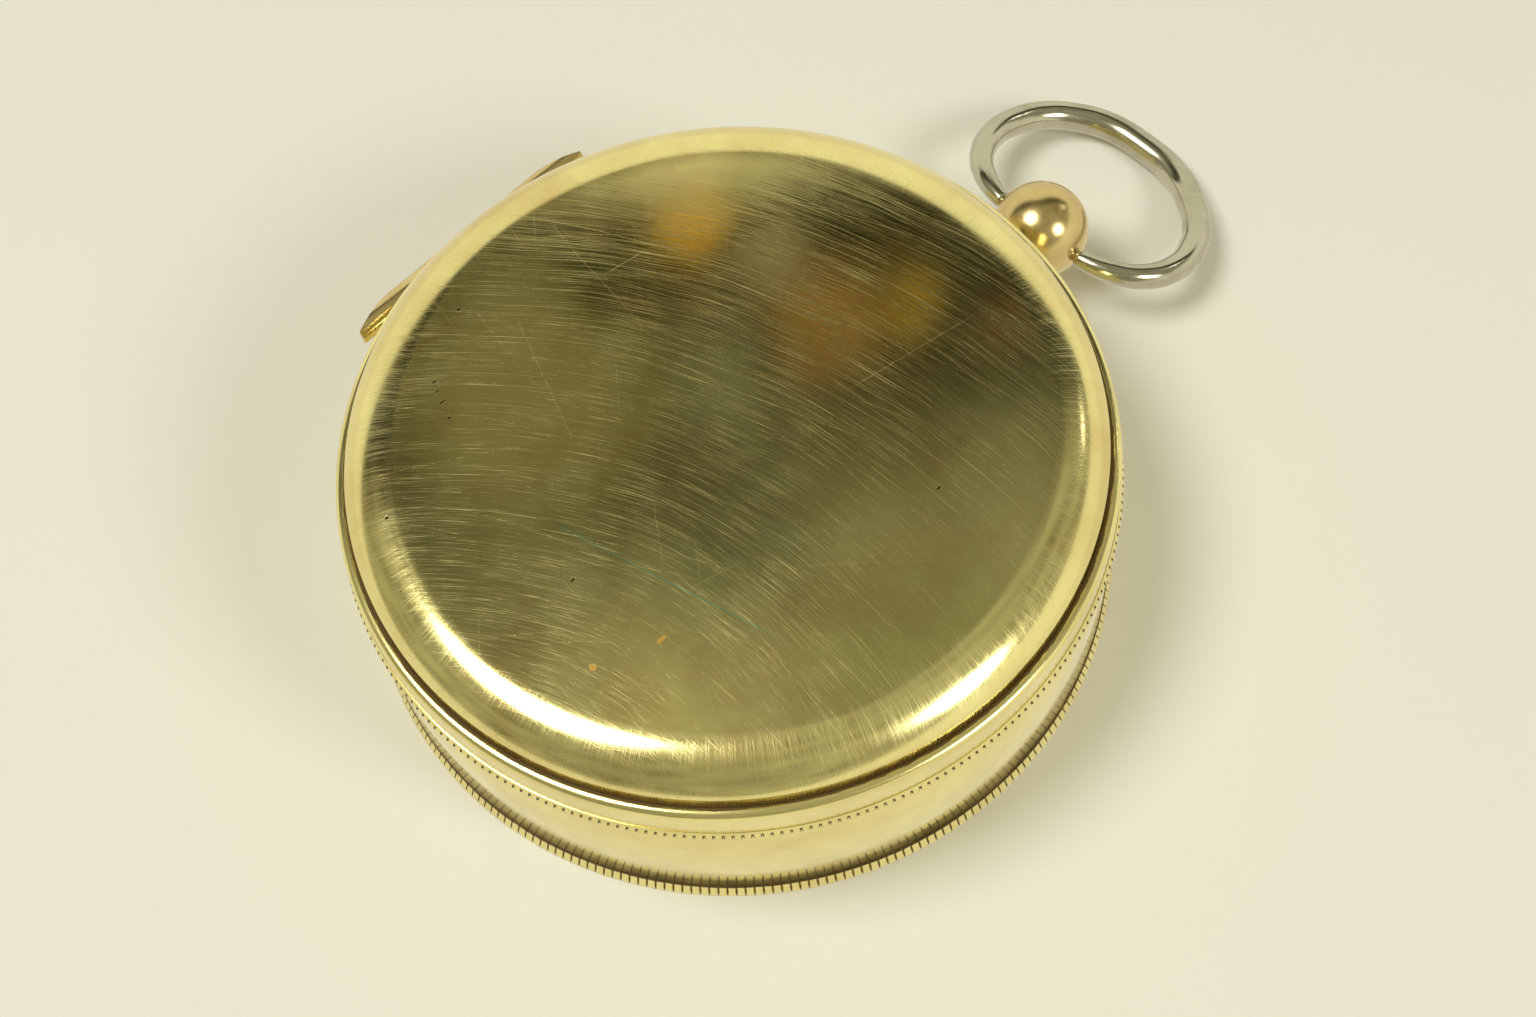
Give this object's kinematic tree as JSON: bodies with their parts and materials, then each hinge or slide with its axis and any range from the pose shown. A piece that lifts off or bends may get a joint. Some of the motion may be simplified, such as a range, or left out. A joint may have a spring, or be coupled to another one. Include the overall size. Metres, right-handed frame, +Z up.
{
  "type": "pocket compass",
  "caption": "Round brass hunter-cased pocket compass with a hinged domed lid, a ball pendant with a bow, a glazed dial and a needle that the lid locks.",
  "frame": {"origin": "centre of the flat underside of the case, on its axis", "axes": "+Z up through the lid, +Y along the pendant, the lid's hinge on the -X side"},
  "size_m": [0.0613, 0.0822, 0.0198],
  "materials": {
    "case_brass": "polished, lightly worn",
    "worn_brass": "polished, scratched",
    "milled_brass": "milled",
    "inner_brass": "satin",
    "silvered_brass": "silvered, matt",
    "card": "matt printed card",
    "blued_steel": "blued",
    "steel": "ground",
    "white_metal": "polished, tarnished",
    "agate": "polished stone",
    "glass": "clear"
  },
  "bodies": {
    "case": {"base_plate": "milled_brass", "case_wall": "case_brass", "bezel": "inner_brass", "glass": "glass", "glass_ring": "inner_brass", "dial_plate": "inner_brass", "dial_card": "card", "chapter_ring": "silvered_brass", "dial_posts": "inner_brass", "dial_screws": "blued_steel", "pivot_boss": "inner_brass", "pivot_pin": "steel", "pendant_stud": "case_brass", "pendant_ball": "case_brass", "pendant_nut": "inner_brass", "case_knuckles": "case_brass", "hinge_pin": "steel", "lever_bracket": "inner_brass", "lever_pin": "steel", "return_spring": "blued_steel", "spring_screw": "steel"},
    "lid": {"lid_dome": "worn_brass", "lid_band": "case_brass", "milled_lid_ring": "milled_brass", "snap_ring": "inner_brass", "lid_leaf": "case_brass"},
    "bow": {"bow": "white_metal"},
    "lock_pin": {"lock_pin": "inner_brass"},
    "lever": {"lifter_lever": "inner_brass"},
    "sleeve": {"lift_sleeve": "inner_brass"},
    "needle": {"needle": "blued_steel", "needle_cap": "inner_brass", "needle_jewel": "agate", "balance_slider": "inner_brass"}
  },
  "joints": [
    {"name": "lid_hinge", "type": "hinge", "parent": "case", "child": "lid", "pos_m": [-0.0303, 0, 0.0127], "axis": [0, -1, 0], "range_deg": [0, 110]},
    {"name": "bow_swing", "type": "hinge", "parent": "case", "child": "bow", "pos_m": [0, 0.0358, 0.0063], "axis": [1, 0, 0], "range_deg": [-95, 123]},
    {"name": "lock_pin_rise", "type": "slide", "parent": "case", "child": "lock_pin", "axis": [0, 0, 1], "range_m": [0, 0.00071]},
    {"name": "lever_tilt", "type": "hinge", "parent": "case", "child": "lever", "pos_m": [0.0114, 0, 0.00347], "axis": [0, -1, 0], "range_deg": [0, 2.55]},
    {"name": "sleeve_drop", "type": "slide", "parent": "case", "child": "sleeve", "axis": [0, 0, -1], "range_m": [0, 0.00051]},
    {"name": "needle_spin", "type": "hinge", "parent": "sleeve", "child": "needle", "pos_m": [0, 0, 0.009], "axis": [0, 0, 1], "continuous": true}
  ],
  "couplings": [
    {"joint": "lock_pin_rise", "follows": "lid_hinge", "m_per_rad": 0.00036461},
    {"joint": "lever_tilt", "follows": "lid_hinge", "ratio": 0.022727},
    {"joint": "sleeve_drop", "follows": "lid_hinge", "m_per_rad": 0.00026044}
  ]
}
